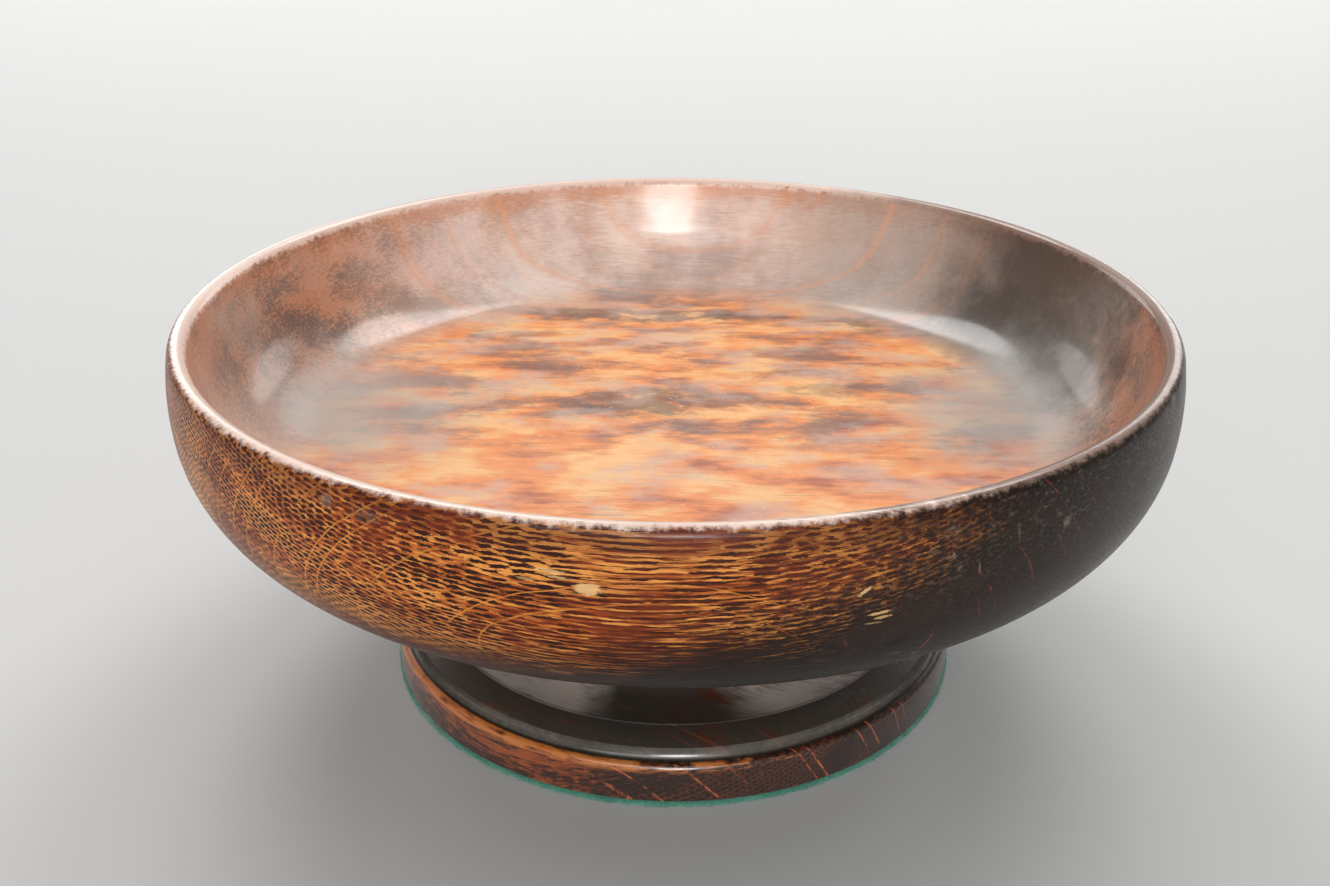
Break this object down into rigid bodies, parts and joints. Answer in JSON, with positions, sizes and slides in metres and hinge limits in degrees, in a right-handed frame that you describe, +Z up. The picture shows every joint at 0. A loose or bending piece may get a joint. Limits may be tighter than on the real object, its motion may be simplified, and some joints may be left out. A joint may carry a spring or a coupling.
{
  "type": "footed wooden bowl",
  "caption": "Shallow turned oak bowl with a half-round rim and a flat floor, on a moulded pedestal foot with a waist and a baize underside.",
  "frame": {"origin": "middle of the baize's underside, where the bowl stands on the table", "axes": "+Z up along the turning axis; +X along the grain of the bowl, to the viewer's right in the picture; +Y away from the viewer"},
  "size_m": [0.3, 0.3, 0.1203],
  "materials": {
    "bowl_oak": "stained and French-polished oak, worn paler on the rim",
    "foot_oak": "dark stained and French-polished oak with orange ray flecks",
    "baize": "green wool baize, fluffy at the edge",
    "dowel_beech": "bare beech",
    "screw_steel": "dull bright steel"
  },
  "bodies": {
    "root": {"bowl": "bowl_oak", "foot": "foot_oak", "baize_pad": "baize", "centring_dowel": "dowel_beech", "foot_screw_1": "screw_steel", "foot_screw_2": "screw_steel", "foot_screw_3": "screw_steel", "foot_screw_4": "screw_steel"}
  },
  "joints": []
}
